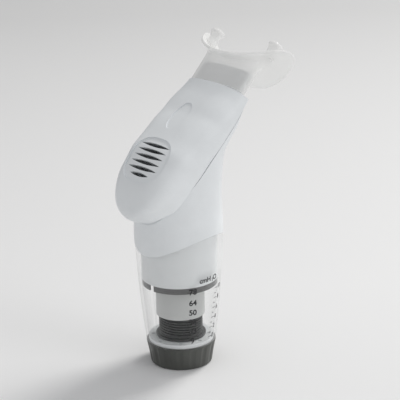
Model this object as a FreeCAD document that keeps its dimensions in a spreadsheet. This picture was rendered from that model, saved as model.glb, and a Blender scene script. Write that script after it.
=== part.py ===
import FreeCAD, Part
import math
import os
import Sketcher

# Inspiratory muscle trainer: a threshold breathing exerciser that stands on its load knob.
# Origin: centre of the knob's underside, +Z up the barrel. +X is the user's side, where the
# flat oval neck leans over to the mouthpiece, and -X is the front, which the handle cover closes.
# The handle has two directions of its own: "along" runs up the neck towards the mouth and "out"
# is square to the cover's face. Both lie in the XZ plane, which is the plane of symmetry.

doc = FreeCAD.newDocument("breathing_trainer")
sheet = doc.addObject("Spreadsheet::Sheet", "Sizes")

SIZES = (
    ("neck_lean", 45.0, "angle of the neck from the horizontal, degrees"),
    ("gap", 0.3, "clearance between pieces that come apart or pass each other"),
    ("seat_gap", 0.1, "clearance between pieces that sit in each other"),
    ("running_gap", 0.06, "radial clearance of a shaft in its guide"),
    ("knob_height", 12.2, "underside of the knob to its rim"),
    ("knob_foot_radius", 16.0, "knob wall carried down to the underside"),
    ("knob_waist_radius", 16.9, "knob wall half way up"),
    ("knob_waist_height", 6.7, "height of that point"),
    ("knob_rim_radius", 18.0, "knob rim"),
    ("knob_edge", 1.2, "rounding of the bottom edge"),
    ("knob_floor", 1.4, "thickness of the knob's floor"),
    ("knob_wall", 1.5, "thickness of the knob's wall"),
    ("knob_shoulder", 2.2, "height of the shoulder that the retaining ring holds"),
    ("flute_count", 16, "grip flutes round the knob"),
    ("flute_radius", 3.4, "radius of one flute"),
    ("flute_depth", 0.45, "depth of one flute"),
    ("drive_radius", 8.4, "hub that drives the load screw"),
    ("drive_height", 10.0, "top of that hub"),
    ("spline_depth", 1.7, "how far its splines stand out"),
    ("spline_half", 1.2, "half the width of one spline"),
    ("spline_count", 4, "splines on the hub"),
    ("collar_flange", 1.9, "thickness of the base collar's flange"),
    ("collar_neck", 1.3, "wall of the collar's neck"),
    ("collar_radius", 16.8, "outside of the collar's flange"),
    ("collar_lip", 0.9, "how far the neck reaches below the retaining ring"),
    ("vent_radius", 1.1, "air vents in the collar"),
    ("vent_count", 8, "number of those vents"),
    ("ring_wire", 0.8, "thickness of the retaining ring"),
    ("ring_groove", 0.6, "depth of its groove"),
    ("ring_hold", 0.5, "how far it reaches under the knob's shoulder"),
    ("ring_split", 2.0, "gap in the ring"),
    ("washer_thickness", 0.8, "thrust washer"),
    ("screw_radius", 11.3, "load screw over its thread"),
    ("screw_wall", 1.8, "wall of the load screw"),
    ("screw_flange_radius", 12.9, "flange at the foot of the thread"),
    ("screw_flange", 1.2, "its thickness"),
    ("screw_top", 48.0, "top of the load screw"),
    ("screw_cap", 1.8, "thickness of its end wall"),
    ("tube_foot_radius", 18.0, "clear tube at the knob"),
    ("tube_top_radius", 22.8, "clear tube where the white housing takes over"),
    ("tube_top", 76.0, "height at which that radius is reached"),
    ("tube_barrel", 592.0, "radius of the tube's barrel curve"),
    ("spigot_radius", 21.0, "tube's spigot inside the housing"),
    ("spigot_foot", 60.0, "height at which the spigot starts, inside the tube's wall"),
    ("spigot_top", 78.5, "top of that spigot"),
    ("arch_x", 2.0, "seam between tube and housing: centre of its arc, towards the user"),
    ("arch_z", 36.8, "height of that centre"),
    ("arch_radius", 35.8, "radius of the seam's arc"),
    ("sleeve_radius", 19.55, "outside of the white inner sleeve"),
    ("sleeve_wall", 0.8, "its wall"),
    ("sleeve_foot", 46.4, "lower edge of the sleeve, top of the window"),
    ("ring_height", 3.2, "dark ring under the sleeve"),
    ("rib_half", 0.8, "half the width of the guide ribs at the front"),
    ("rib_face", 17.0, "distance of the rib's face from the axis"),
    ("follower_wall", 1.0, "wall of the load follower's skirt"),
    ("follower_foot", 26.4, "lower edge of the skirt at the reading shown"),
    ("follower_length", 24.0, "skirt length up to the flange's top"),
    ("follower_flange", 1.6, "thickness of the flange under the spring"),
    ("follower_radius", 17.7, "radius of that flange"),
    ("relief_radius", 1.3, "air holes in the flange"),
    ("relief_count", 6, "number of those holes"),
    ("spring_radius", 15.0, "mean radius of the load spring"),
    ("spring_wire", 1.1, "its wire"),
    ("spring_turns", 7.0, "its turns"),
    ("seat_height", 80.5, "underside of the inlet valve's seat"),
    ("seat_thickness", 2.0, "its plate"),
    ("seat_lip", 1.0, "raised lip that the seal closes on"),
    ("port_radius", 11.4, "inlet port"),
    ("guide_radius", 3.6, "boss that guides the valve stem"),
    ("guide_drop", 5.0, "how far the boss reaches below the plate"),
    ("arm_half", 0.9, "half the width of an arm that carries the boss"),
    ("arm_count", 3, "number of those arms"),
    ("stem_radius", 2.2, "valve stem"),
    ("stem_foot_radius", 5.0, "head at the foot of the stem"),
    ("stem_foot", 1.3, "its thickness"),
    ("stem_top", 90.0, "top of the stem"),
    ("clip_radius", 4.2, "spring clip above the load screw"),
    ("clip_thickness", 0.8, "its thickness"),
    ("poppet_radius", 13.6, "inlet valve plate"),
    ("poppet_thickness", 1.8, "its thickness"),
    ("seal_width", 2.0, "width of the rubber face ring"),
    ("seal_thickness", 0.9, "its thickness"),
    ("nut_radius", 4.0, "nut on top of the stem"),
    ("nut_height", 2.4, "its height"),
    ("gasket_thickness", 0.8, "rubber gasket over the seat"),
    ("o_ring_wire", 0.9, "O-ring between tube and housing"),
    ("o_ring_height", 75.5, "its height"),
    ("shell_wall", 2.0, "wall of housing and cover"),
    ("shell_foot", 58.0, "height at which the housing's form starts"),
    ("barrel_radius", 22.8, "housing round the barrel"),
    ("barrel_top", 74.0, "end of its straight part"),
    ("waist_radius", 21.6, "housing's waist"),
    ("waist_height", 92.0, "height of the waist"),
    ("rim_along", 119.0, "cover's upper rim, measured along the neck"),
    ("seam_out", 75.9, "seam between cover and housing, measured square to the face"),
    ("seam_bend", 60.0, "where the seam starts to turn down round the front, along the neck"),
    ("seam_radius", 57.0, "radius of that turn"),
    ("deck_depth", 0.5, "valve deck below the seam"),
    ("deck_wall", 1.8, "thickness of the valve deck"),
    ("bulkhead_along", 98.0, "wall between valve deck and neck"),
    ("neck_out", 79.2, "centre of the oval neck, square to the face"),
    ("neck_half_width", 16.8, "neck duct, half its width"),
    ("neck_half_height", 4.3, "neck duct, half its height"),
    ("neck_wall", 1.2, "wall of the neck duct"),
    ("neck_end", 131.0, "end of the neck duct, along the neck"),
    ("cover_tail", 36.9, "lower end of the cover, along the neck"),
    ("cover_width", 22.0, "half width of the cover over the thumb recess"),
    ("cover_crown", 95.2, "crown of the cover, square to the face"),
    ("cover_rim_width", 21.0, "half width at the rim"),
    ("cover_rim_crown", 86.2, "crown at the rim"),
    ("tail_lift", 8.9, "how far the cover's middle rises towards its tail"),
    ("slot_count", 6, "louvre slots"),
    ("slot_pitch", 3.37, "slot to slot"),
    ("slot_height", 2.1, "opening of one slot at its middle"),
    ("slot_half_length", 10.4, "half the length of a long slot"),
    ("slot_last_half", 6.6, "half the length of the lowest slot"),
    ("slot_first_along", 74.5, "centre of the top slot, along the neck"),
    ("panel_depth", 0.6, "recess round the slots"),
    ("panel_margin", 3.0, "how far the recess reaches past the slots"),
    ("thumb_top", 103.4, "thumb recess: upper end, along the neck"),
    ("thumb_foot", 85.5, "thumb recess: lower end"),
    ("thumb_half_width", 4.8, "thumb recess: half its width"),
    ("thumb_depth", 0.45, "thumb recess: depth"),
    ("exhale_along", 71.0, "centre of the exhale valve, along the neck"),
    ("exhale_port", 8.4, "radius of its port"),
    ("exhale_seat", 1.8, "thickness of its seat insert"),
    ("exhale_flange", 10.6, "radius of the seat's flange"),
    ("exhale_hub", 2.6, "radius of the hub that holds the flap"),
    ("flap_radius", 9.6, "exhale flap"),
    ("flap_thickness", 0.8, "its thickness"),
    ("flap_peg", 1.4, "radius of the flap's peg"),
    ("peg_head", 1.8, "radius of the peg's barb"),
    ("mouth_wall", 1.6, "wall of the mouthpiece"),
    ("flange_along", 133.5, "root of the lip flange, along the neck"),
    ("flange_sweep", 38.7, "radius of the flange's curve round the mouth"),
    ("flange_wall", 1.6, "thickness of the lip flange"),
    ("flange_half_width", 30.0, "lip flange, half its width"),
    ("flange_half_height", 17.0, "lip flange, half its height"),
    ("flange_out", 74.6, "centre of the lip flange, square to the face"),
    ("tab_side", 17.8, "bite tab: distance from the middle"),
    ("tab_width", 6.6, "bite tab: width"),
    ("tab_reach", 151.0, "bite tab: end, along the neck"),
    ("tab_thickness", 4.0, "bite tab: thickness"),
    ("tab_ridge", 7.0, "ridge at the end of the bite tab"),
)

for row, (alias, number, note) in enumerate(SIZES, start=1):
    sheet.set("A%d" % row, note)
    sheet.set("B%d" % row, str(number))
    sheet.setAlias("B%d" % row, alias)
doc.recompute()
SIZE = {alias: float(sheet.get(alias)) for alias, number, note in SIZES}
WORDS = set(SIZE)


def value(sum_of_names):
    """Adds up a sum such as "tube_top - gap": sizes from the sheet and plain numbers."""
    total, sign = 0.0, 1.0
    for word in sum_of_names.split():
        if word in "+-":
            sign = 1.0 if word == "+" else -1.0
        else:
            total += sign * (SIZE[word] if word in SIZE else float(word))
            sign = 1.0
    return total


def bound(sum_of_names):
    """The same sum as an expression on the sheet."""
    return " ".join("Sizes." + word if word in WORDS else word for word in sum_of_names.split())


def origin_plane(body, role):
    return next(o for o in body.Origin.OriginFeatures if o.Role == role)


def sketch_on(body, name, role):
    sketch = body.newObject("Sketcher::SketchObject", name)
    sketch.AttachmentSupport = [(origin_plane(body, role), "")]
    sketch.MapMode = "FlatFace"
    return sketch


def fix_point(sketch, place, x, y):
    """Ties a point of the sketch to the sheet in both directions."""
    geometry, corner = place
    for kind, axis, text in (("DistanceX", -2, x), ("DistanceY", -1, y)):
        if text == "0":
            sketch.addConstraint(Sketcher.Constraint("PointOnObject", geometry, corner, axis))
            continue
        index = sketch.addConstraint(Sketcher.Constraint(kind, -1, 1, geometry, corner, value(text)))
        sketch.setExpression("Constraints[%d]" % index, bound(text))


def draw_outline(sketch, points):
    """Closed outline of straight lines; each corner is a pair of sums."""
    corners = [FreeCAD.Vector(value(x), value(y), 0) for x, y in points]
    for i, corner in enumerate(corners):
        sketch.addGeometry(Part.LineSegment(corner, corners[(i + 1) % len(corners)]))
    for i, (x, y) in enumerate(points):
        following = (i + 1) % len(points)
        sketch.addConstraint(Sketcher.Constraint("Coincident", i, 2, following, 1))
        fix_point(sketch, (i, 1), x, y)


def draw_circle(sketch, x, y, radius):
    centre = FreeCAD.Vector(value(x), value(y), 0)
    index = sketch.addGeometry(Part.Circle(centre, FreeCAD.Vector(0, 0, 1), value(radius)))
    fix_point(sketch, (index, 3), x, y)
    datum = sketch.addConstraint(Sketcher.Constraint("Radius", index, value(radius)))
    sketch.setExpression("Constraints[%d]" % datum, bound(radius))


def new_body(name):
    body = doc.addObject("PartDesign::Body", name)
    body.Label = name
    return body


def turn(body, name, points, kind="Revolution"):
    """Turns an outline of (radius, height) corners about the barrel's axis."""
    sketch = sketch_on(body, name + "_outline", "XZ_Plane")
    draw_outline(sketch, points)
    feature = body.newObject("PartDesign::" + kind, name)
    feature.Profile = sketch
    feature.ReferenceAxis = (sketch, ["V_Axis"])
    feature.Angle = 360
    body.Tip = feature
    doc.recompute()
    return feature


def repeat(body, name, feature, count):
    """Copies a feature round the barrel's axis."""
    pattern = body.newObject("PartDesign::PolarPattern", name)
    pattern.Originals = [feature]
    pattern.Axis = (origin_plane(body, "Z_Axis"), [""])
    pattern.Angle = 360
    pattern.setExpression("Occurrences", bound(count))
    body.Tip = pattern
    doc.recompute()
    return pattern


def lifted(sketch, height):
    """Lifts a sketch off its plane by a sum of sizes."""
    sketch.setExpression("AttachmentOffset.Base.z", bound(height))
    return sketch


def cut_through(body, name, sketch, length):
    """Cuts a sketch upwards from its plane, and makes sure that something went."""
    before = body.Shape.Volume
    pocket = body.newObject("PartDesign::Pocket", name)
    pocket.Profile = sketch
    pocket.Type = 0
    pocket.setExpression("Length", bound(length))
    pocket.Reversed = True
    body.Tip = pocket
    doc.recompute()
    if body.Shape.Volume > before - 1e-3:
        raise RuntimeError("nothing was cut by " + name)
    return pocket


def shaped(name, shape):
    """A piece whose freeform shape is worked out from the sheet's sizes."""
    piece = doc.addObject("Part::Feature", name)
    piece.Label = name
    piece.Shape = shape
    piece.Placement = FreeCAD.Placement()
    return piece


# Places that several pieces share, as sums of the sizes.
COLLAR_FOOT = "knob_height + gap"
COLLAR_TOP = COLLAR_FOOT + " + collar_flange"
COLLAR_BORE = "screw_radius + gap"
COLLAR_NECK = COLLAR_BORE + " + collar_neck"
SHOULDER_BORE = COLLAR_NECK + " + gap"
SHOULDER_TOP = COLLAR_FOOT + " - washer_thickness - gap"
SHOULDER_FOOT = SHOULDER_TOP + " - knob_shoulder"
KNOB_BORE = "knob_rim_radius - knob_wall"
RING_TOP = SHOULDER_FOOT + " - gap"
RING_FOOT = RING_TOP + " - ring_wire"
SCREW_FOOT = "knob_floor + gap + gap"
SCREW_BORE = "screw_radius - screw_wall"
THREAD_FOOT = COLLAR_TOP + " + gap"
CAP_FLOOR = "screw_top - screw_cap"
FOLLOWER_BORE = "screw_radius + gap"
FOLLOWER_SKIN = FOLLOWER_BORE + " + follower_wall"
FOLLOWER_TOP = "follower_foot + follower_length"
FLANGE_FOOT = FOLLOWER_TOP + " - follower_flange"
SLEEVE_BORE = "sleeve_radius - sleeve_wall"
TUBE_BORE = "sleeve_radius + seat_gap"
RIBBON_FOOT = "sleeve_foot - ring_height"
SEAT_TOP = "seat_height + seat_thickness"
LIP_TOP = SEAT_TOP + " + seat_lip"
SEAL_FOOT = LIP_TOP + " + 0.02"
SEAL_TOP = SEAL_FOOT + " + seal_thickness"
POPPET_TOP = SEAL_TOP + " + poppet_thickness"
GUIDE_BORE = "stem_radius + running_gap"
HOUSING_BORE = "spigot_radius + seat_gap"
MOUTH_BORE_WIDTH = "neck_half_width + seat_gap"
MOUTH_BORE_HEIGHT = "neck_half_height + seat_gap"
MOUTH_FOOT = "rim_along + gap"
LEDGE_FOOT = SEAT_TOP + " + gasket_thickness"
LEDGE_TOP = LEDGE_FOOT + " + shell_wall"
LEDGE_BORE = "poppet_radius + guide_radius"


def ring_outline(inner, outer, foot, height):
    """Rectangle from one radius to another, to be turned into a ring."""
    head = foot + " + " + height
    return ((inner, foot), (outer, foot), (outer, head), (inner, head))


def opposite(sum_of_names):
    """The same sum with every sign turned."""
    turned_signs = {"+": "-", "-": "+"}
    return "0 - " + " ".join(turned_signs.get(word, word) for word in sum_of_names.split())


def block_on(body, name, near, far, half, foot, length, cuts=False):
    """Pads or cuts a block that lies along X from near to far, half its width each side of it."""
    sketch = lifted(sketch_on(body, name + "_outline", "XY_Plane"), foot)
    low = opposite(half)
    draw_outline(sketch, ((near, low), (far, low), (far, half), (near, half)))
    if cuts:
        return cut_through(body, name, sketch, length)
    pad = body.newObject("PartDesign::Pad", name)
    pad.Profile = sketch
    pad.setExpression("Length", bound(length))
    body.Tip = pad
    doc.recompute()
    return pad


def round_edges(body, name, radius, chosen):
    """Rounds the edges of the body's last feature that the test picks."""
    form = body.Tip
    edges = ["Edge%d" % (i + 1) for i, edge in enumerate(form.Shape.Edges) if chosen(edge.BoundBox)]
    rounding = body.newObject("PartDesign::Fillet", name)
    rounding.Base = (form, edges)
    rounding.setExpression("Radius", bound(radius))
    body.Tip = rounding
    doc.recompute()


# The adjuster knob: dark moulded plastic with broad grip flutes. The trainer stands on its floor,
# and its splined hub drives the load screw.
def adjuster_knob():
    body = new_body("adjuster_knob")
    inside = "knob_foot_radius - knob_wall"
    hollow = "drive_radius - knob_wall"
    turn(body, "knob_form", (
        ("0", "0"), ("knob_foot_radius", "0"), ("knob_waist_radius", "knob_waist_height"),
        ("knob_rim_radius", "knob_height"), (KNOB_BORE, "knob_height"), (KNOB_BORE, SHOULDER_TOP),
        (SHOULDER_BORE, SHOULDER_TOP), (SHOULDER_BORE, SHOULDER_FOOT),
        (inside, SHOULDER_FOOT), (inside, "knob_floor"),
        ("drive_radius", "knob_floor"), ("drive_radius", "drive_height"), (hollow, "drive_height"),
        (hollow, "knob_floor"), ("0", "knob_floor"),
    ))
    foot = value("knob_foot_radius") - 0.01
    round_edges(body, "knob_edge_round", "knob_edge", lambda box: box.ZMax < 0.01 and box.XMax > foot)
    ends = []
    for name, radius, height in (("flute_foot", "knob_foot_radius", "0"),
                                 ("flute_head", "knob_rim_radius", "knob_height")):
        sketch = lifted(sketch_on(body, name, "XY_Plane"), height)
        draw_circle(sketch, radius + " + flute_radius - flute_depth", "0", "flute_radius")
        ends.append(sketch)
    flute = body.newObject("PartDesign::SubtractiveLoft", "flute")
    flute.Profile = ends[0]
    flute.Sections = [ends[1]]
    body.Tip = flute
    doc.recompute()
    repeat(body, "flutes", flute, "flute_count")
    spline = block_on(body, "spline", hollow, "drive_radius + spline_depth", "spline_half",
                      "knob_floor", "drive_height - knob_floor")
    repeat(body, "splines", spline, "spline_count")
    return body


# The base collar: white ring in the foot of the clear tube. The knob turns on its neck, the load
# screw passes through it, and air enters the barrel through its vents.
def base_collar():
    body = new_body("base_collar")
    groove = COLLAR_NECK + " - ring_groove"
    foot = RING_FOOT + " - collar_lip"
    turn(body, "collar_form", (
        (COLLAR_BORE, foot), (COLLAR_NECK, foot), (COLLAR_NECK, RING_FOOT + " - seat_gap"),
        (groove, RING_FOOT + " - seat_gap"), (groove, RING_TOP + " + seat_gap"),
        (COLLAR_NECK, RING_TOP + " + seat_gap"), (COLLAR_NECK, COLLAR_FOOT),
        ("collar_radius", COLLAR_FOOT), ("collar_radius", COLLAR_TOP), (COLLAR_BORE, COLLAR_TOP),
    ))
    sketch = lifted(sketch_on(body, "vent_outline", "XY_Plane"), COLLAR_FOOT + " - seat_gap")
    draw_circle(sketch, COLLAR_NECK + " + vent_radius + gap", "0", "vent_radius")
    vent = cut_through(body, "vent", sketch, "collar_flange + gap")
    repeat(body, "vents", vent, "vent_count")
    return body


def thrust_washer():
    body = new_body("thrust_washer")
    turn(body, "washer_form", ring_outline(COLLAR_NECK + " + seat_gap", KNOB_BORE + " - gap",
                                           SHOULDER_TOP + " + seat_gap", "washer_thickness"))
    return body


# The retaining ring: a split ring of spring steel in the collar's groove, under the knob's shoulder.
def retaining_ring():
    body = new_body("retaining_ring")
    turn(body, "ring_form", ring_outline(COLLAR_NECK + " - ring_groove + seat_gap",
                                         SHOULDER_BORE + " + ring_hold", RING_FOOT, "ring_wire"))
    block_on(body, "split", "drive_radius", "knob_rim_radius", "ring_split", RING_FOOT + " - seat_gap",
             "ring_wire + gap", cuts=True)
    return body


# The load screw: hollow dark screw on the knob's splines. Turning it climbs the follower; it rises
# with the valve stem when the user breathes in.
def load_screw():
    body = new_body("load_screw")
    flange_top = THREAD_FOOT + " + screw_flange"
    turn(body, "screw_form", (
        (SCREW_BORE, SCREW_FOOT), ("screw_radius", SCREW_FOOT), ("screw_radius", THREAD_FOOT),
        ("screw_flange_radius", THREAD_FOOT), ("screw_flange_radius", flange_top),
        ("screw_radius", flange_top), ("screw_radius", "screw_top"),
        (GUIDE_BORE, "screw_top"), (GUIDE_BORE, CAP_FLOOR), (SCREW_BORE, CAP_FLOOR),
    ))
    slot = block_on(body, "spline_slot", "stem_radius", "drive_radius + spline_depth + gap",
                    "spline_half + seat_gap", "knob_floor", "drive_height", cuts=True)
    repeat(body, "spline_slots", slot, "spline_count")
    return body


# The load follower: pale grey nut with a skirt over the screw. Its flange carries the load spring
# and is kept from turning by the guide ribs; the edge of its skirt reads the load on the scale.
def load_follower():
    body = new_body("load_follower")
    turn(body, "follower_form", (
        (FOLLOWER_BORE, "follower_foot"), (FOLLOWER_SKIN, "follower_foot"), (FOLLOWER_SKIN, FLANGE_FOOT),
        ("follower_radius", FLANGE_FOOT), ("follower_radius", FOLLOWER_TOP), (FOLLOWER_BORE, FOLLOWER_TOP),
    ))
    below = FLANGE_FOOT + " - seat_gap"
    block_on(body, "rib_notch", "0 - knob_rim_radius - knob_wall", "0 - rib_face + gap", "rib_half + gap",
             below, "follower_flange + gap", cuts=True)
    sketch = lifted(sketch_on(body, "relief_outline", "XY_Plane"), below)
    draw_circle(sketch, FOLLOWER_SKIN + " + relief_radius + gap", "0", "relief_radius")
    relief = cut_through(body, "relief", sketch, "follower_flange + gap")
    repeat(body, "reliefs", relief, "relief_count")
    return body


# The load spring: steel compression spring between the follower's flange and the valve seat. One
# short arc of the coil is swept, then repeated up the helix.
def load_spring():
    foot = value(FOLLOWER_TOP + " + seat_gap")
    head = value("seat_height - seat_gap")
    wire, radius = value("spring_wire") / 2, value("spring_radius")
    arcs = 8
    count = int(value("spring_turns")) * arcs
    rise = (head - foot - 2 * wire) / count
    coil = Part.makeHelix(rise * arcs, rise, radius)
    coil.translate(FreeCAD.Vector(0, 0, foot + wire))
    start = FreeCAD.Vector(radius, 0, foot + wire)
    heading = FreeCAD.Vector(0, radius, rise * arcs / math.tau)
    section = Part.Wire(Part.makeCircle(wire, start, heading))
    arc = Part.Wire(coil.Edges).makePipeShell([section], True, True)
    turned_arcs = []
    for index in range(count):
        copy = arc.copy()
        copy.rotate(FreeCAD.Vector(), FreeCAD.Vector(0, 0, 1), 360.0 * index / arcs)
        copy.translate(FreeCAD.Vector(0, 0, rise * index))
        turned_arcs.append(copy)
    return shaped("load_spring", turned_arcs[0].fuse(turned_arcs[1:]).Solids[0])


# The inner sleeve: white cartridge inside the clear tube that hides the spring, with a rib at the
# front that goes on from the tube's guide rib.
def inner_sleeve():
    body = new_body("inner_sleeve")
    turn(body, "sleeve_form", ring_outline(SLEEVE_BORE, "sleeve_radius", "sleeve_foot",
                                           "seat_height - seat_gap - sleeve_foot"))
    block_on(body, "sleeve_rib", "0 - sleeve_radius + seat_gap", "0 - rib_face", "rib_half", "sleeve_foot + gap",
             "spigot_top - sleeve_foot - gap")
    return body


# The dark ring that finishes the sleeve's lower edge, notched at the front over the guide rib.
def sleeve_ring():
    body = new_body("sleeve_ring")
    turn(body, "ring_band", ring_outline(SLEEVE_BORE + " - seat_gap", "sleeve_radius - gap",
                                         RIBBON_FOOT, "ring_height"))
    block_on(body, "ring_notch", "0 - tube_top_radius", "0 - rib_face + gap", "rib_half + gap + gap",
             RIBBON_FOOT + " - gap", "ring_height + gap + gap", cuts=True)
    return body


def corner(x, z, y=0.0):
    """Point in the plane of symmetry, from two sums."""
    return FreeCAD.Vector(value(x), y, value(z))


def lines(points):
    return [Part.LineSegment(a, b).toShape() for a, b in zip(points, points[1:])]


def bulged(a, b, radius):
    """Arc from a to b of the given radius, bulging to the right of the way from a to b."""
    chord = b.sub(a)
    half = chord.Length / 2
    rise = radius - math.sqrt(radius * radius - half * half)
    side = FreeCAD.Vector(chord.z, 0, -chord.x).normalize()
    middle = a.add(b).multiply(0.5).add(side.multiply(rise))
    return Part.Arc(a, middle, b).toShape()


def turned(edges):
    """Solid of revolution about the barrel's axis, from a closed outline."""
    face = Part.Face(Part.Wire(edges))
    return face.revolve(FreeCAD.Vector(), FreeCAD.Vector(0, 0, 1), 360)


def ring_solid(inner, outer, foot, head):
    solid = Part.makeCylinder(value(outer), value(head) - value(foot), corner("0", foot))
    return solid.cut(Part.makeCylinder(value(inner), value(head) - value(foot), corner("0", foot)))


def arch_solid(extra):
    """Round tool across the barrel, whose top is the arched seam between tube and housing."""
    reach = 2 * value("tube_top_radius")
    centre = corner("arch_x", "arch_z", -reach)
    return Part.makeCylinder(value("arch_radius") + extra, 2 * reach, centre, FreeCAD.Vector(0, 1, 0))


# The scale tube: clear barrel that carries the printed scale, with a guide rib inside its front
# and a spigot that the housing is pushed over. Its top edge follows the arched seam.
def scale_tube():
    outer_foot = corner("tube_foot_radius", COLLAR_FOOT)
    outer_top = corner("tube_top_radius", "tube_top")
    inside = [corner(TUBE_BORE, "tube_top"), corner(TUBE_BORE, RIBBON_FOOT),
              corner("collar_radius + seat_gap", COLLAR_TOP + " + gap"),
              corner("collar_radius + seat_gap", COLLAR_FOOT)]
    barrel = turned([bulged(outer_foot, outer_top, value("tube_barrel"))]
                    + lines([outer_top] + inside + [outer_foot]))
    skin = barrel.common(arch_solid(0))
    spigot = ring_solid(TUBE_BORE, "spigot_radius", "spigot_foot", "spigot_top")
    rib_foot = value(COLLAR_TOP + " + gap")
    rib = Part.makeBox(value("tube_foot_radius") - value("rib_face"), 2 * value("rib_half"),
                       value("sleeve_foot") - value("gap") - rib_foot,
                       FreeCAD.Vector(-value("tube_foot_radius"), -value("rib_half"), rib_foot))
    web = Part.makeBox(value(TUBE_BORE) + value("seat_gap") - value("rib_face"), 2 * value("rib_half"),
                       value("sleeve_foot") - value("gap") - rib_foot,
                       FreeCAD.Vector(-value(TUBE_BORE) - value("seat_gap"), -value("rib_half"), rib_foot))
    bore = turned(lines([corner("0", COLLAR_FOOT), inside[3], inside[2], inside[1], inside[0],
                         corner("0", "tube_top"), corner("0", COLLAR_FOOT)]))
    rib = rib.fuse(web).common(bore)
    groove = Part.makeTorus(value("spigot_radius") - value("o_ring_wire") / 2,
                            value("o_ring_wire") / 2 + value("seat_gap"), corner("0", "o_ring_height"))
    return shaped("scale_tube", whole(skin.fuse([spigot, rib]).cut(groove)))


def whole(shape):
    """The one solid that a boolean leaves, with split faces joined where that keeps it sound."""
    joined = shape.copy().removeSplitter()
    solids = joined.Solids if joined.isValid() and joined.Volume > 0 else shape.Solids
    if len(solids) != 1:
        raise RuntimeError("%d solids instead of one" % len(solids))
    return solids[0]


# The O-ring that seals the housing on the tube's spigot.
def body_o_ring():
    ring = Part.makeTorus(value("spigot_radius") - value("o_ring_wire") / 2, value("o_ring_wire") / 2,
                          corner("0", "o_ring_height"))
    return shaped("body_o_ring", ring)


# The inlet valve's seat: plate with a raised lip, and three arms that carry the stem's guide.
def valve_seat():
    body = new_body("valve_seat")
    lip = "port_radius + seat_lip"
    turn(body, "seat_form", (
        ("port_radius", "seat_height"), ("sleeve_radius", "seat_height"), ("sleeve_radius", SEAT_TOP),
        (lip, SEAT_TOP), (lip, LIP_TOP), ("port_radius", LIP_TOP),
    ))
    arm = block_on(body, "guide_arm", "stem_radius + gap", "port_radius + gap", "arm_half", "seat_height",
                   "seat_thickness")
    repeat(body, "guide_arms", arm, "arm_count")
    turn(body, "guide_boss", ring_outline(GUIDE_BORE, "guide_radius", "seat_height - guide_drop",
                                          "guide_drop + seat_thickness"))
    turn(body, "guide_bore", ring_outline("0", GUIDE_BORE, "seat_height - guide_drop",
                                          "guide_drop + seat_thickness + seat_lip"), kind="Groove")
    return body


def seat_gasket():
    body = new_body("seat_gasket")
    turn(body, "gasket_form", ring_outline(LEDGE_BORE, "sleeve_radius", SEAT_TOP, "gasket_thickness"))
    return body


# The inlet valve: plate with a rubber face ring, pulled down on its seat by the stem. Breathing in
# lifts it against the load spring.
def inlet_seal():
    body = new_body("inlet_seal")
    turn(body, "seal_form", ring_outline("port_radius - gap", "port_radius + seal_width", SEAL_FOOT,
                                         "seal_thickness"))
    return body


def inlet_poppet():
    body = new_body("inlet_poppet")
    turn(body, "poppet_form", (
        ("stem_radius", SEAL_TOP), ("poppet_radius", SEAL_TOP), ("poppet_radius", POPPET_TOP + " - seat_lip"),
        ("guide_radius + seat_lip", POPPET_TOP), ("stem_radius", POPPET_TOP),
    ))
    return body


def valve_stem():
    body = new_body("valve_stem")
    head = CAP_FLOOR + " - seat_gap"
    turn(body, "stem_form", (
        ("0", head + " - stem_foot"), ("stem_foot_radius", head + " - stem_foot"), ("stem_foot_radius", head),
        ("stem_radius", head), ("stem_radius", "stem_top"), ("0", "stem_top"),
    ))
    return body


def stem_clip():
    body = new_body("stem_clip")
    turn(body, "clip_form", ring_outline("stem_radius", "clip_radius", "screw_top + seat_gap", "clip_thickness"))
    return body


def stem_nut():
    body = new_body("stem_nut")
    sketch = lifted(sketch_on(body, "nut_outline", "XY_Plane"), POPPET_TOP)
    flats = 6
    points = [FreeCAD.Vector(value("nut_radius") * math.cos(math.tau * i / flats),
                             value("nut_radius") * math.sin(math.tau * i / flats), 0) for i in range(flats)]
    for i in range(flats):
        sketch.addGeometry(Part.LineSegment(points[i], points[(i + 1) % flats]))
    rim = sketch.addGeometry(Part.Circle(FreeCAD.Vector(), FreeCAD.Vector(0, 0, 1), value("nut_radius")), True)
    sketch.addConstraint(Sketcher.Constraint("Coincident", rim, 3, -1, 1))
    for i in range(flats):
        sketch.addConstraint(Sketcher.Constraint("Coincident", i, 2, (i + 1) % flats, 1))
        sketch.addConstraint(Sketcher.Constraint("PointOnObject", i, 1, rim))
        if i:
            sketch.addConstraint(Sketcher.Constraint("Equal", 0, i))
    sketch.addConstraint(Sketcher.Constraint("PointOnObject", 0, 1, -1))
    datum = sketch.addConstraint(Sketcher.Constraint("Radius", rim, value("nut_radius")))
    sketch.setExpression("Constraints[%d]" % datum, bound("nut_radius"))
    pad = body.newObject("PartDesign::Pad", "nut_form")
    pad.Profile = sketch
    pad.setExpression("Length", bound("nut_height"))
    body.Tip = pad
    doc.recompute()
    turn(body, "nut_bore", ring_outline("0", "stem_radius", POPPET_TOP, "nut_height"), kind="Groove")
    return body


# The handle's own directions: along the neck and out of the cover's face.
LEAN = math.radians(SIZE["neck_lean"])
ALONG = FreeCAD.Vector(math.cos(LEAN), 0, math.sin(LEAN))
OUT = FreeCAD.Vector(-math.sin(LEAN), 0, math.cos(LEAN))
SIDE = FreeCAD.Vector(0, 1, 0)


def handle_point(along, side, out):
    return ALONG * along + SIDE * side + OUT * out


def superellipse(centre, across, up, half_width, half_height, power):
    """Closed smooth section: |w/a|^p + |h/b|^p = 1, through evenly turned points."""
    steps = 24
    points = []
    for step in range(steps):
        w, h = math.cos(math.tau * step / steps), math.sin(math.tau * step / steps)
        reach = (abs(w) ** power + abs(h) ** power) ** (-1 / power)
        points.append(centre + across * (w * reach * half_width) + up * (h * reach * half_height))
    curve = Part.BSplineCurve()
    curve.interpolate(Points=points, PeriodicFlag=True, Parameters=[float(i) for i in range(steps + 1)])
    return Part.Wire(curve.toShape())


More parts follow.
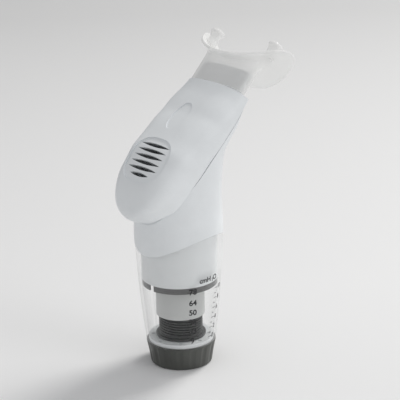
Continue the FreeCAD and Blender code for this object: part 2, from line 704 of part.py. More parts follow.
def lopsided(centre, half_width, above, below, power):
    """Closed section across the handle whose upper and lower heights differ."""
    steps = 24
    points = []
    for step in range(steps):
        w, h = math.cos(math.tau * step / steps), math.sin(math.tau * step / steps)
        reach = (abs(w) ** power + abs(h) ** power) ** (-1 / power)
        height = above if h > 0 else below
        points.append(centre + SIDE * (w * reach * half_width) + OUT * (h * reach * height))
    curve = Part.BSplineCurve()
    curve.interpolate(Points=points, PeriodicFlag=True, Parameters=[float(i) for i in range(steps + 1)])
    return Part.Wire(curve.toShape())


def blended(rows, place):
    """Smooth value between rows of (place, values...), flat beyond the ends."""
    if place <= rows[0][0]:
        return rows[0][1:]
    if place >= rows[-1][0]:
        return rows[-1][1:]
    at = next(i for i in range(1, len(rows)) if place <= rows[i][0])
    before, low, high, after = (rows[max(at - 2, 0)], rows[at - 1], rows[at], rows[min(at + 1, len(rows) - 1)])
    step = high[0] - low[0]
    t = (place - low[0]) / step
    result = []
    for a, b, c, d in zip(before[1:], low[1:], high[1:], after[1:]):
        rise_in = step * (c - a) / (high[0] - before[0])
        rise_out = step * (d - b) / (after[0] - low[0])
        result.append((1 + 2 * t) * (1 - t) ** 2 * b + t * (1 - t) ** 2 * rise_in
                      + t * t * (3 - 2 * t) * c - t * t * (1 - t) * rise_out)
    return result


def oval_prism(half_width, half_height, out, start, end, power=2.5):
    """Oval bar along the neck."""
    foot = superellipse(handle_point(start, 0, out), SIDE, OUT, half_width, half_height, power)
    return Part.Face(foot).extrude(ALONG * (end - start))


def handle_block(along, side, out):
    """Block between two values along, across and out of the handle."""
    size = [high - low for low, high in (along, side, out)]
    block = Part.makeBox(*size)
    turn_to_handle = FreeCAD.Rotation(ALONG, SIDE, OUT, "ZXY")
    block.Placement = FreeCAD.Placement(handle_point(along[0], side[0], out[0]), turn_to_handle)
    return block


def housing_form(inset=0.0):
    """Housing's outer form, from the barrel up. Rows: height, front and back along X, half width, power."""
    barrel, waist, at = value("barrel_radius"), value("waist_radius"), value("waist_height")
    rows = (
        (value("barrel_top"), -barrel, barrel, barrel, 2.0),
        (at, -waist, waist + 0.5, waist - 0.6, 2.2),
        (at + 13.0, -waist + 3.4, waist + 0.7, waist - 0.5, 2.3),
        (at + 23.0, -waist + 12.6, waist + 1.6, waist, 2.3),
        (at + 33.0, -waist + 24.6, waist + 7.9, waist + 0.6, 2.3),
        (at + 42.0, -waist + 36.6, waist + 10.6, waist + 0.5, 2.3),
        (at + 50.0, -waist + 46.0, waist + 12.6, waist - 1.0, 2.3),
    )
    foot, head = value("shell_foot"), rows[-1][0]
    stations = 15
    sections = []
    for index in range(stations):
        height = foot + (head - foot) * index / (stations - 1)
        front, back, half, power = blended(rows, height)
        centre = FreeCAD.Vector((front + back) / 2, 0, height)
        sections.append(superellipse(centre, FreeCAD.Vector(1, 0, 0), SIDE, (back - front) / 2 - inset,
                                     half - inset, power))
    return Part.makeLoft(sections, True, False)


def seam_at(along, shift=0.0):
    """Seam's place square to the face: flat, then bending down round the front."""
    seam, radius = value("seam_out") + shift, value("seam_radius")
    past = max(0.0, value("seam_bend") - along)
    return seam - radius + math.sqrt(radius * radius - past * past)


def rounded(part, power):
    """How much of a section is left at a part of the way to the tail."""
    return (1 - part ** power) ** (1 / power)


def cover_section(along, tail, inset):
    """Cover's section at a place along it: centre, half width, height above, depth below, power."""
    middle, knee, rim = value("seam_out") - 1.0, value("seam_bend") + 2.0, value("rim_along")
    crown, width = value("cover_crown"), value("cover_width")
    rim_crown, rim_width = value("cover_rim_crown"), value("cover_rim_width")
    rows = ((knee, width - 2.3, crown - 0.5, 4.0), (knee + 8.0, width - 1.5, crown, 3.9),
            (knee + 18.0, width - 1.0, crown - 1.3, 3.7), (knee + 30.0, width - 0.1, crown - 3.6, 3.3),
            (knee + 43.0, width + 0.1, rim_crown + 2.9, 2.9), (rim, rim_width, rim_crown, 2.5),
            (rim + 6.0, rim_width - 0.8, rim_crown - 1.8, 2.5))
    half, top, power = blended(rows, along)
    part = min(max((knee - along) / (knee - tail), 0.0), 1.0)
    centre = middle + value("tail_lift") * part * part * (3 - 2 * part)
    below = max(centre - seam_at(along), 0.5) / 0.8 + 14.0 * (1 - part) ** 3
    half, above, below = (half - inset, top - centre - inset, max(below - inset, 0.3))
    end = rounded(part, 1.82)
    return centre, half * rounded(part, 1.85), above * end, below * end, power


def cover_form(inset=0.0):
    """Cover's outer form, from its tail to past its rim."""
    tail, knee, head = value("cover_tail") + inset, value("seam_bend") + 2.0, value("rim_along") + 6.0
    reach = knee - tail
    places = [tail + reach * part for part in (0.008, 0.03, 0.08, 0.16, 0.27, 0.40, 0.55, 0.70, 0.85)]
    places += [knee + (head - knee) * i / 8 for i in range(9)]
    sections = []
    for place in places:
        centre, half, above, below, power = cover_section(place, tail, inset)
        sections.append(lopsided(handle_point(place, 0, centre), half, above, below, power))
    return Part.makeLoft(sections, True, False)


def seam_side(shift):
    """Everything outside the seam between cover and housing: a slab whose underside is the seam."""
    seam, bend = value("seam_out") + shift, value("seam_bend")
    radius = value("seam_radius")
    far, near, top = 170.0, radius * 0.72, 130.0
    low = seam_at(bend - near, shift)
    points = [handle_point(far, 0, seam), handle_point(far, 0, top), handle_point(bend - near, 0, top),
              handle_point(bend - near, 0, low)]
    half = near / 2
    mid = handle_point(bend - half, 0, seam_at(bend - half, shift))
    edges = lines(points) + [Part.Arc(points[3], mid, handle_point(bend, 0, seam)).toShape()]
    edges += lines([handle_point(bend, 0, seam), points[0]])
    face = Part.Face(Part.Wire(edges))
    face.translate(SIDE * -40)
    return face.extrude(SIDE * 80)


def rim_side():
    """Everything beyond the cover's upper rim."""
    return handle_block((value("rim_along"), 200.0), (-50.0, 50.0), (20.0, 140.0))


def bore_tool(radius, foot, head):
    return Part.makeCylinder(value(radius), value(head) - value(foot), corner("0", foot))


# The housing: white elbow over the tube. Its bore steps in for the valve seat, a deck under the
# seam carries the exhale valve, and the oval neck duct takes the mouthpiece.
def body_shell():
    wall, half_gap = value("shell_wall"), value("gap") / 2
    bulkhead, rim = value("bulkhead_along"), value("rim_along")
    form = housing_form()
    outside = form.cut(seam_side(-half_gap)).cut(rim_side())
    above = Part.makeBox(200, 200, 200, FreeCAD.Vector(-100, -100, value(LEDGE_TOP)))
    inner = housing_form(wall).common(above)
    bores = [bore_tool(HOUSING_BORE, "shell_foot", "spigot_top + gap"),
             bore_tool(TUBE_BORE, "shell_foot", LEDGE_FOOT), bore_tool(LEDGE_BORE, "shell_foot", LEDGE_TOP)]
    shell = outside.cut([inner] + bores).cut(arch_solid(value("gap")))
    deck_foot = value("deck_depth") + value("deck_wall")
    beyond = handle_block((bulkhead, 200.0), (-50.0, 50.0), (20.0, 140.0))
    deck = seam_side(-deck_foot).cut(seam_side(-value("deck_depth"))).cut(beyond)
    deck = deck.common(housing_form(wall - value("seat_gap"))).common(above)
    out, width, height = value("neck_out"), value("neck_half_width"), value("neck_half_height")
    block = oval_prism(width + 1.4, height + 3.2, out - 1.0, bulkhead, rim)
    room = cover_form(wall + 2 * value("gap")).common(seam_side(-half_gap))
    for piece in (deck, oval_prism(width, height, out, bulkhead, value("neck_end")), block.common(outside),
                  block.common(room)):
        shell = shell.fuse(piece)
    passage = oval_prism(width - value("neck_wall"), height - value("neck_wall"), out,
                         bulkhead + value("neck_wall"), value("neck_end") + 1)
    below = value("seam_out") - deck_foot
    link = handle_block((bulkhead + value("neck_wall"), bulkhead + 12), (3 - width, width - 3), (below - 1, out))
    port_foot = handle_point(value("exhale_along"), 0, below - 2)
    port = Part.makeCylinder(value("exhale_port") + 1.0, 10, port_foot, OUT)
    for tool in (passage, link.common(housing_form(wall)), port):
        shell = shell.cut(tool)
    return shaped("body_shell", whole(shell))


# The handle cover: white snap-on shell with six louvre slots in a shallow panel, a thumb recess,
# and a bulging tail that overhangs the barrel.
def handle_cover():
    wall = value("shell_wall")
    chin = handle_block((value("cover_tail"), value("seam_bend") - 1.0), (-30.0, 30.0),
                        (40.0, value("seam_out") + value("tail_lift") - 2.0))
    hollow, core, outside = cover_form(wall), housing_form(wall).common(chin), seam_side(value("gap") / 2)
    shell = cover_form().cut(hollow).cut(core).common(outside).cut(rim_side())
    foot = housing_form().common(chin).cut(core).common(outside).cut(hollow)
    shell = shell.fuse(foot)
    pitch, first = value("slot_pitch"), value("slot_first_along")
    count = int(value("slot_count"))
    last = first - pitch * (count - 1)
    crown = value("cover_crown")
    tools = []
    for index in range(count):
        half = value("slot_last_half") if index == count - 1 else value("slot_half_length")
        tools.append(slot_tool(first - pitch * index, half, value("slot_height") / 2, (crown - 9, crown + 4)))
    floor = offset_slab(panel_outline(first, last), value("panel_depth"))
    thumb = offset_slab(thumb_outline(), value("thumb_depth"))
    return shaped("handle_cover", whole(shell.cut(floor).cut(thumb).cut(tools)))


def slot_tool(along, half, rise, reach):
    """Lens-shaped slot across the handle, cut square to the face."""
    left, right = handle_point(along, -half, reach[0]), handle_point(along, half, reach[0])
    upper = Part.Arc(left, handle_point(along + rise, 0, reach[0]), right).toShape()
    lower = Part.Arc(right, handle_point(along - rise, 0, reach[0]), left).toShape()
    return Part.Face(Part.Wire([upper, lower])).extrude(OUT * (reach[1] - reach[0]))


def panel_outline(first, last):
    """Rounded recess about the slots."""
    margin = value("panel_margin")
    middle = handle_point((first + last) / 2, 0, 0)
    half, reach = value("slot_half_length") + margin, (first - last) / 2 + 1.5 * margin
    return superellipse(middle, SIDE, ALONG, half, reach, 2.6)


def thumb_outline():
    centre = (value("thumb_top") + value("thumb_foot")) / 2
    return superellipse(handle_point(centre, 0, 0), SIDE, ALONG, value("thumb_half_width"),
                        (value("thumb_top") - value("thumb_foot")) / 2, 2.2)


def offset_slab(outline, depth):
    """What lies inside an outline and outside the cover's form lowered by a depth."""
    column = Part.Face(outline).extrude(OUT * 60)
    column.translate(OUT * (value("cover_crown") - 12))
    return column.cut(cover_form(depth))


# The exhale valve: seat insert in the deck, and a rubber flap held at its middle by a barbed peg.
# Breathing out lifts the flap, and the air leaves through the cover's louvres.
def exhale_frame():
    """Deck's upper face under the valve, as a placement with +Z out of the handle."""
    deck_top = value("seam_out") - value("deck_depth")
    upright = FreeCAD.Rotation(ALONG, SIDE, OUT, "ZXY")
    return FreeCAD.Placement(handle_point(value("exhale_along"), 0, deck_top), upright)


def disc(radius, foot, head):
    return Part.makeCylinder(radius, head - foot, FreeCAD.Vector(0, 0, foot))


def exhale_seat():
    port, seat = value("exhale_port"), value("exhale_seat")
    hub, bore = value("exhale_hub"), value("flap_peg") + value("running_gap")
    flange = disc(value("exhale_flange"), value("seat_gap"), seat)
    collar = disc(port + 0.9, -value("deck_wall"), seat)
    ring = flange.fuse(collar).cut(disc(port, -5, 5))
    start = FreeCAD.Vector(-port - 0.4, -0.7, -1.0)
    arms = [Part.makeBox(2 * port + 0.8, 1.4, seat + 1.0, start) for _ in range(2)]
    arms[1].rotate(FreeCAD.Vector(), FreeCAD.Vector(0, 0, 1), 90)
    solid = ring.fuse(arms + [disc(hub, -1.0, seat)]).cut(disc(bore, -5, 5))
    return shaped("exhale_seat", whole(solid).transformed(exhale_frame().Matrix, True))


def exhale_flap():
    foot = value("exhale_seat") + 0.02
    plate = disc(value("flap_radius"), foot, foot + value("flap_thickness"))
    peg = disc(value("flap_peg"), -4.2, foot + 0.1)
    barb = disc(value("peg_head"), -4.2, -3.4)
    return shaped("exhale_flap", whole(plate.fuse([peg, barb])).transformed(exhale_frame().Matrix, True))


# The mouthpiece: soft clear oval sleeve on the neck duct, with a curved lip flange and two bite tabs.
def mouthpiece():
    wall, out = value("mouth_wall"), value("neck_out")
    width, height = value(MOUTH_BORE_WIDTH), value(MOUTH_BORE_HEIGHT)
    foot, root = value(MOUTH_FOOT), value("flange_along")
    sleeve = oval_prism(width + wall, height + wall, out, foot, root + 12)
    thickness, sweep = value("flange_wall"), value("flange_sweep")
    centre = handle_point(root + sweep, 0, 0)
    reach = 160.0
    sheet_solid = Part.makeCylinder(sweep, reach, centre, OUT).cut(
        Part.makeCylinder(sweep - thickness, reach, centre, OUT))
    half_width, half_height = value("flange_half_width"), value("flange_half_height")
    middle = handle_point(root - 2, 0, value("flange_out"))
    disc_form = superellipse(middle, SIDE, OUT, half_width, half_height, 2.0)
    prism = Part.Face(disc_form).extrude(ALONG * (sweep - 3))
    flange = sheet_solid.common(prism)
    sleeve = sleeve.cut(Part.makeCylinder(sweep - thickness, reach, centre, OUT))
    bore = oval_prism(width, height, out, foot - 1, root + 30)
    tabs = []
    for side in (-1, 1):
        near = value("tab_side") * side
        far = near + value("tab_width") * side
        across = (min(near, far), max(near, far))
        plate = value("tab_thickness") / 2
        ridge = value("tab_ridge") / 2
        tabs.append(handle_block((root + 4.0, value("tab_reach")), across, (out - plate, out + plate)))
        tabs.append(handle_block((value("tab_reach") - 2.4, value("tab_reach")), across, (out - ridge, out + ridge)))
    inside = Part.makeCylinder(sweep - thickness / 2, reach, centre, OUT)
    tabs = [tab.common(inside) for tab in tabs]
    return shaped("mouthpiece", whole(sleeve.fuse([flange] + tabs).cut(bore)))


PIECES = (
    adjuster_knob, base_collar, thrust_washer, retaining_ring, load_screw, load_follower, load_spring,
    inner_sleeve, sleeve_ring, scale_tube, body_o_ring, valve_seat, seat_gasket, inlet_seal,
    inlet_poppet, valve_stem, stem_clip, stem_nut, body_shell, handle_cover, exhale_seat, exhale_flap,
    mouthpiece,
)
pieces = [make() for make in PIECES]
doc.recompute()

for item in doc.Objects:
    faults = [state for state in item.State if state in ("Invalid", "Error")]
    if faults:
        raise RuntimeError("%s is left %s" % (item.Name, faults))
for piece in pieces:
    shape = piece.Shape
    if shape.isNull() or not shape.isValid() or len(shape.Solids) < 1:
        raise RuntimeError(piece.Label + " is not a valid solid")

os.makedirs("parts", exist_ok=True)
for piece in pieces:
    piece.Shape.exportStep("parts/%s.step" % piece.Label)
    box = piece.Shape.BoundBox
    print("%-16s volume %9.1f  x %6.1f %6.1f  y %6.1f %6.1f  z %6.1f %6.1f" % (
        piece.Label, piece.Shape.Volume, box.XMin, box.XMax, box.YMin, box.YMax, box.ZMin, box.ZMax))
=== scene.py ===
import bmesh
import bpy
import math
import numpy as np
from mathutils import Matrix, Vector


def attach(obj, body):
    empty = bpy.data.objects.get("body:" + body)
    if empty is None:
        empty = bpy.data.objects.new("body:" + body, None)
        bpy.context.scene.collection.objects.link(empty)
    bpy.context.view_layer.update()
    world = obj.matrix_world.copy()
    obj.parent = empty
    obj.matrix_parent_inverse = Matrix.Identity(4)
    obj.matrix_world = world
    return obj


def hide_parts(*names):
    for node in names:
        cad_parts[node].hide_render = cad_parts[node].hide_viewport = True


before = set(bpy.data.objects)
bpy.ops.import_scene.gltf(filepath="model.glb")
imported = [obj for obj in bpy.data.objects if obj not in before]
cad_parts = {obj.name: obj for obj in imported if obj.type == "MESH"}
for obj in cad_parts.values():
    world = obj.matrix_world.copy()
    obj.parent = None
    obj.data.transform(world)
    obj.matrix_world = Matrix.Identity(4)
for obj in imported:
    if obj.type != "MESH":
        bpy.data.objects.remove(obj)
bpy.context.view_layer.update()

# The adjuster knob: dark moulded plastic, turned by hand. Sixteen shallow grip flutes run up its
# wall, its bottom edge is rounded, and it clips over the collar. All sizes are in millimetres.
MM = 0.001
CRISP_BEND = math.radians(38)
MERGE_REACH = 1e-7
FLUTES, FLUTE_ROUND, FLUTE_DEPTH, FLUTE_CIRCLE = 16, 3.4, 0.4, 17.0
FLUTE_FOOT, FLUTE_RUN_IN, FLUTE_TOP, FLUTE_RUN_OUT = 0.4, 1.2, 12.0, 0.7
KNOB_WALL_INSIDE, KNOB_SIDE, KNOB_BEND_TOP = 14.9, 16.0, 1.3


def new_object(name, points, faces, smooth=True, outwards=False):
    """Mesh object from points in millimetres and lists of corner numbers. With outwards, points that
    coincide are merged and the faces turned to point out. Bends over the crisp angle stay sharp."""
    mesh = bpy.data.meshes.new(name)
    mesh.from_pydata((np.asarray(points, float) * MM).tolist(), [], faces)
    mesh.validate()
    mesh.update()
    if outwards:
        work = bmesh.new()
        work.from_mesh(mesh)
        bmesh.ops.remove_doubles(work, verts=work.verts, dist=MERGE_REACH)
        bmesh.ops.recalc_face_normals(work, faces=work.faces)
        work.to_mesh(mesh)
        work.free()
    if smooth:
        mesh.shade_smooth()
        mesh.set_sharp_from_angle(angle=CRISP_BEND)
    obj = bpy.data.objects.new(name, mesh)
    bpy.context.scene.collection.objects.link(obj)
    return obj


def grid_faces(rows, columns, close_columns=True, close_rows=False):
    """Quads between neighbours of a grid of points. A point's number is its row times the count of
    columns, plus its column, and the last column or row may meet the first."""
    row = np.arange(rows if close_rows else rows - 1)[:, None]
    column = np.arange(columns if close_columns else columns - 1)[None, :]
    next_row, next_column = (row + 1) % rows, (column + 1) % columns
    corners = np.broadcast_arrays(row * columns + column, row * columns + next_column,
                                  next_row * columns + next_column, next_row * columns + column)
    return np.stack(corners, -1).reshape(-1, 4).tolist()


def about_axis(radii, heights, angles):
    """Points about the barrel's axis: radius times the cosine and the sine of the angle, and height."""
    grid = np.broadcast_arrays(radii * np.cos(angles), radii * np.sin(angles), heights)
    return np.stack(grid, -1).reshape(-1, 3)


def turned_piece(name, profile, segments, radius_change):
    """Solid of revolution: each point of the profile goes round the axis, its radius first changed
    by a function of radius, height and angle. A profile that stays off the axis closes on itself."""
    angles = np.arange(segments) * math.tau / segments
    radii, heights = np.broadcast_to(profile[:, :1], (len(profile), segments)), profile[:, 1:]
    points = about_axis(radius_change(radii, heights, angles), heights, angles)
    faces = grid_faces(len(profile), segments, close_rows=profile[0, 0] > 0)
    return new_object(name, points, faces, outwards=True)


def moulded(name, colour, roughness, grain=1500.0, depth=0.02, mottle=0.03, **extra):
    """Material with a fine grain in the bump and a faint mottle in colour and gloss."""
    material = bpy.data.materials.new(name)
    material.use_nodes = True
    nodes, links = material.node_tree.nodes, material.node_tree.links
    shader = nodes["Principled BSDF"]
    place = nodes.new("ShaderNodeTexCoord")
    cloud = nodes.new("ShaderNodeTexNoise")
    cloud.inputs["Scale"].default_value = 70.0
    cloud.inputs["Detail"].default_value = 4.0
    links.new(place.outputs["Object"], cloud.inputs["Vector"])
    tint = nodes.new("ShaderNodeValToRGB")
    low, high = tint.color_ramp.elements
    low.position, high.position = 0.3, 0.7
    low.color = [c * (1 - mottle) for c in colour] + [1.0]
    high.color = [min(1.0, c * (1 + mottle)) for c in colour] + [1.0]
    links.new(cloud.outputs["Fac"], tint.inputs["Fac"])
    links.new(tint.outputs["Color"], shader.inputs["Base Color"])
    gloss = nodes.new("ShaderNodeMapRange")
    gloss.inputs["To Min"].default_value = roughness * 0.88
    gloss.inputs["To Max"].default_value = min(1.0, roughness * 1.12)
    links.new(cloud.outputs["Fac"], gloss.inputs["Value"])
    links.new(gloss.outputs["Result"], shader.inputs["Roughness"])
    fine = nodes.new("ShaderNodeTexNoise")
    fine.inputs["Scale"].default_value = grain
    fine.inputs["Detail"].default_value = 2.0
    links.new(place.outputs["Object"], fine.inputs["Vector"])
    bump = nodes.new("ShaderNodeBump")
    bump.inputs["Strength"].default_value = 0.35
    bump.inputs["Distance"].default_value = depth * MM
    links.new(fine.outputs["Fac"], bump.inputs["Height"])
    links.new(bump.outputs["Normal"], shader.inputs["Normal"])
    for key, number in extra.items():
        shader.inputs[key.replace("_", " ")].default_value = number
    return material


def coat(obj, material):
    """Gives a new piece its only material."""
    obj.data.materials.clear()
    obj.data.materials.append(material)
    return obj


def recoat(material, *nodes):
    """Gives CAD nodes a finer material."""
    for node in nodes:
        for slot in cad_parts[node].material_slots:
            slot.material = material


def arc(radius, height, bend, start, end, count):
    """Points of a small arc: its centre plus the bend times cosine and sine, angles in degrees."""
    angles = np.radians(np.linspace(start, end, count))
    return np.stack([radius + bend * np.cos(angles), height + bend * np.sin(angles)], 1)


def with_flutes(radii, heights, angles):
    """Radius less the part of a round cutter that lies inside the wall, sixteen times round the knob,
    running in above the foot and out below the top."""
    pitch = math.tau / FLUTES
    off = np.abs((angles + pitch / 2) % pitch - pitch / 2) * FLUTE_CIRCLE
    scallop = np.sqrt(np.maximum(FLUTE_ROUND ** 2 - off ** 2, 0)) - (FLUTE_ROUND - FLUTE_DEPTH)
    run_in = np.clip((heights - FLUTE_FOOT) / FLUTE_RUN_IN, 0, 1)
    run_out = np.clip((FLUTE_TOP - heights) / FLUTE_RUN_OUT, 0, 1)
    wall = (radii >= KNOB_WALL_INSIDE) & (heights <= FLUTE_TOP)
    wall &= (radii >= KNOB_SIDE) | (heights <= KNOB_BEND_TOP)
    return radii - np.where(wall, np.maximum(scallop, 0) * run_in * run_out, 0)


dark = moulded("dark_moulded_fine", (0.070, 0.073, 0.066), 0.34, depth=0.05, mottle=0.08)
recoat(dark, "adjuster_knob")
knob_profile = np.vstack([
    [(0.0, 0.25), (12.9, 0.25), (13.4, 0.0)],
    arc(14.85, 1.2, 1.2, -90, -8, 6),
    [(16.3, 3.0), (16.6, 4.8), (16.9, 6.7), (17.3, 8.6), (17.65, 10.3), (17.85, 11.4)],
    arc(17.7, 11.95, 0.25, -10, 90, 4),
    [(16.7, 12.2), (16.5, 12.0), (16.5, 11.4), (13.2, 11.4), (13.2, 9.2), (14.5, 9.2), (14.5, 1.6),
     (14.3, 1.4), (8.4, 1.4), (8.4, 9.8), (8.2, 10.0), (7.1, 10.0), (6.9, 9.8), (6.9, 1.4), (0.0, 1.4)]])
knob = coat(turned_piece("knob_piece", knob_profile, 256, with_flutes), dark)
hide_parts("adjuster_knob")
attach(knob, "knob")

# The hub's splines: four dark ribs moulded on the knob's hub. They slide in the load screw's slots
# when the valve lifts, and turn the screw with the knob.
SPLINES = 4
SPLINE_SECTION = np.array([(7.6, -1.2), (10.1, -1.2), (10.1, 1.2), (7.6, 1.2)])
SPLINE_FOOT, SPLINE_TOP = 1.4, 10.0


def joined(parts):
    """One set of points and faces from several: each part's corner numbers go up by the number of
    points before it."""
    starts = np.cumsum([0] + [len(points) for points, _ in parts]).tolist()
    faces = [[corner + start for corner in face] for start, part in zip(starts, parts) for face in part[1]]
    return np.vstack([points for points, _ in parts]), faces


def spline_box(turn):
    """Straight rib: its section turned about the axis, at the foot and again at the top."""
    x, y = SPLINE_SECTION.T
    across, along = x * math.cos(turn) - y * math.sin(turn), x * math.sin(turn) + y * math.cos(turn)
    foot = np.stack([across, along, np.full(4, SPLINE_FOOT)], 1)
    top = np.stack([across, along, np.full(4, SPLINE_TOP)], 1)
    return np.vstack([foot, top]), [[3, 2, 1, 0], [4, 5, 6, 7]] + grid_faces(2, 4)


spline_points, spline_faces = joined([spline_box(math.tau * n / SPLINES) for n in range(SPLINES)])
splines = coat(new_object("knob_splines", spline_points, spline_faces), dark)
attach(splines, "knob")

# The collar and its rings: a white moulded collar closes the tube's foot and carries the knob. A slip
# washer of natural plastic lies between them, and a sprung steel ring holds the knob on.
white_satin = moulded("white_satin_fine", (0.80, 0.82, 0.825), 0.5)
white_slip = moulded("white_slip_fine", (0.78, 0.78, 0.75), 0.4)
steel = moulded("steel_fine", (0.55, 0.55, 0.55), 0.3, grain=600.0, mottle=0.06, Metallic=1.0)
recoat(white_satin, "base_collar")
recoat(white_slip, "thrust_washer")
recoat(steel, "retaining_ring")

# The load screw: dark hollow screw with a two-start left-hand thread of 1.4 mm pitch, moulded with
# rounded crests. Only its lower turns show, between the collar and the follower's skirt.
THREAD_FOOT, THREAD_TOP, PITCH, LEAD = 15.9, 46.6, 1.4, 2.8
THREAD_RADIUS, THREAD_DEPTH, THREAD_STEP, THREAD_RUN = 11.3, 0.85, 0.175, 1.4
CREST_SHARE, FLANK_SHARE = 0.30, 0.34


def thread_depth(heights, angles):
    """How far the thread stands back from its crest: nothing on the crest, then a smooth step down
    to the root, by the place within one pitch, which climbs with the angle."""
    phase = ((heights + LEAD * angles / math.tau) / PITCH) % 1.0
    root = np.clip((np.abs(phase - 0.5) * 2 - CREST_SHARE) / FLANK_SHARE, 0, 1)
    return THREAD_DEPTH * root * root * (3 - 2 * root)


def with_thread(radii, heights, angles):
    """Radius less the thread's depth on the screw's outside, running in and out at the ends."""
    run = np.minimum(heights - THREAD_FOOT, THREAD_TOP - heights) / THREAD_RUN
    threaded = (heights >= THREAD_FOOT + 0.2) & (heights <= THREAD_TOP)
    threaded = threaded & (np.abs(radii - THREAD_RADIUS) < 0.05)
    return radii - np.where(threaded, thread_depth(heights, angles) * np.clip(run, 0, 1), 0)


thread_dark = moulded("thread_dark_fine", (0.035, 0.037, 0.036), 0.35, mottle=0.08)
recoat(dark, "load_screw")
thread_heights = np.arange(THREAD_FOOT + THREAD_STEP, THREAD_TOP, THREAD_STEP)
screw_profile = np.vstack([
    [(9.5, 2.0), (11.1, 2.0), (11.3, 2.2), (11.3, 14.7), (12.75, 14.7), (12.9, 14.85), (12.9, 15.75),
     (12.75, 15.9), (THREAD_RADIUS, THREAD_FOOT)],
    np.stack([np.full(len(thread_heights), THREAD_RADIUS), thread_heights], 1),
    [(THREAD_RADIUS, 47.6), (10.9, 48.0), (2.26, 48.0), (2.26, 46.2), (9.5, 46.2)]])
screw = coat(turned_piece("screw_piece", screw_profile, 128, with_thread), thread_dark)
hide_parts("load_screw")
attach(screw, "screw")

# The cartridge and what moves in it: a white moulded sleeve with a grey ring at its foot, the pale
# skirt that runs on the screw and points at the scale, and the load spring of drawn steel.
pale_grey = moulded("pale_grey_fine", (0.60, 0.61, 0.60), 0.45)
ring_grey = moulded("grey_moulded_fine", (0.13, 0.13, 0.13), 0.45)
recoat(white_satin, "inner_sleeve")
recoat(ring_grey, "sleeve_ring")
recoat(pale_grey, "load_follower")
recoat(steel, "load_spring")

# The clear scale tube: injection-moulded barrel, polished, swelling to the arched seam where the
# white housing takes over. A guide rib stands inside its front and a spigot goes up the housing.
TUBE_FOOT, TUBE_FOOT_RADIUS, TUBE_HEAD, TUBE_HEAD_RADIUS, TUBE_ARC = 12.5, 18.0, 76.0, 22.8, 592.0
FOOT_BEVEL, TUBE_ROWS, TUBE_COLUMNS = 0.15, 40, 180
ARCH_FOOT, ARCH_RADIUS, ARCH_SHIFT = 36.8, 35.8, 2.0
SPIGOT_RADIUS, SPIGOT_TOP = 21.0, 78.5
BORE_FOOT, BORE_FOOT_RADIUS, BORE_BREAK, BORE_RADIUS = 14.7, 16.9, 43.2, 19.65
RIB_HALF_WIDTH, RIB_RADIUS, RIB_FOOT, RIB_TOP = 0.8, 17.0, 14.6, 46.15


def tube_radius(heights):
    """Outside of the tube: a straight cone from foot to head, swollen by a flat arc between them."""
    share = (heights - TUBE_FOOT) / (TUBE_HEAD - TUBE_FOOT)
    chord = math.hypot(TUBE_HEAD_RADIUS - TUBE_FOOT_RADIUS, TUBE_HEAD - TUBE_FOOT)
    cone = TUBE_FOOT_RADIUS + (TUBE_HEAD_RADIUS - TUBE_FOOT_RADIUS) * share
    return cone + 4 * share * (1 - share) * chord * chord / (8 * TUBE_ARC)


def seam_height(angles):
    """Height of the arched seam: a round arch seen from the side, met by the tube's own radius, which
    settles in eight rounds."""
    heights = np.full_like(angles, 60.0)
    for _ in range(8):
        x = tube_radius(heights) * np.cos(angles)
        heights = ARCH_FOOT + np.sqrt(np.maximum(0.0, ARCH_RADIUS ** 2 - (x - ARCH_SHIFT) ** 2))
    return heights


def tube_bore(heights):
    """Inside of the tube: a cone up to the break, and straight above it."""
    share = np.maximum(0.0, (heights - BORE_FOOT) / (BORE_BREAK - BORE_FOOT))
    cone = BORE_FOOT_RADIUS + (BORE_RADIUS - BORE_FOOT_RADIUS) * share
    return np.where(heights > BORE_BREAK, BORE_RADIUS, cone)


def clear(name, tint, roughness, face, edge, blend, power):
    """Clear plastic: see-through where it is looked at squarely, milky towards its outlines."""
    material = moulded(name, tint, roughness, grain=300.0, depth=0.006, mottle=0.01, IOR=1.49)
    nodes, links = material.node_tree.nodes, material.node_tree.links
    slope = nodes.new("ShaderNodeLayerWeight")
    slope.inputs["Blend"].default_value = blend
    steep = nodes.new("ShaderNodeMath")
    steep.operation = "POWER"
    steep.inputs[1].default_value = power
    links.new(slope.outputs["Facing"], steep.inputs[0])
    veil = nodes.new("ShaderNodeMapRange")
    veil.inputs["To Min"].default_value = face
    veil.inputs["To Max"].default_value = edge
    links.new(steep.outputs["Value"], veil.inputs["Value"])
    links.new(veil.outputs["Result"], nodes["Principled BSDF"].inputs["Alpha"])
    return material


rib_half_angle = math.asin(RIB_HALF_WIDTH / TUBE_FOOT_RADIUS)
rib_edges = np.array([-rib_half_angle - 0.002, -rib_half_angle, 0.0, rib_half_angle, rib_half_angle + 0.002])
tube_angles = np.arange(TUBE_COLUMNS) * math.tau / TUBE_COLUMNS
tube_angles = tube_angles[np.abs(tube_angles - math.pi) > rib_half_angle + 0.01]
tube_angles = np.sort(np.concatenate([tube_angles, math.pi + rib_edges]))
seam = seam_height(tube_angles)
climb = np.linspace(0, 1, TUBE_ROWS)[:, None]
outside_heights = TUBE_FOOT + (seam - TUBE_FOOT) * climb
outside_radii = tube_radius(outside_heights) - np.where(climb == 0, FOOT_BEVEL, 0.0)
spigot_radii = np.array([[SPIGOT_RADIUS], [SPIGOT_RADIUS], [BORE_RADIUS]]) + 0 * seam
spigot_heights = np.stack([seam, np.full_like(seam, SPIGOT_TOP), np.full_like(seam, SPIGOT_TOP)])
inside_heights = np.concatenate([np.linspace(77.0, 46.3, 8), np.linspace(46.1, BORE_FOOT, 24),
                                 [BORE_FOOT, TUBE_FOOT]])[:, None] + 0 * seam
on_rib = np.abs(tube_angles - math.pi) < rib_half_angle + 0.001
on_rib = on_rib & (inside_heights > RIB_FOOT) & (inside_heights < RIB_TOP)
inside_radii = np.where(on_rib, RIB_RADIUS, tube_bore(inside_heights))
inside_radii[-2:] = BORE_FOOT_RADIUS
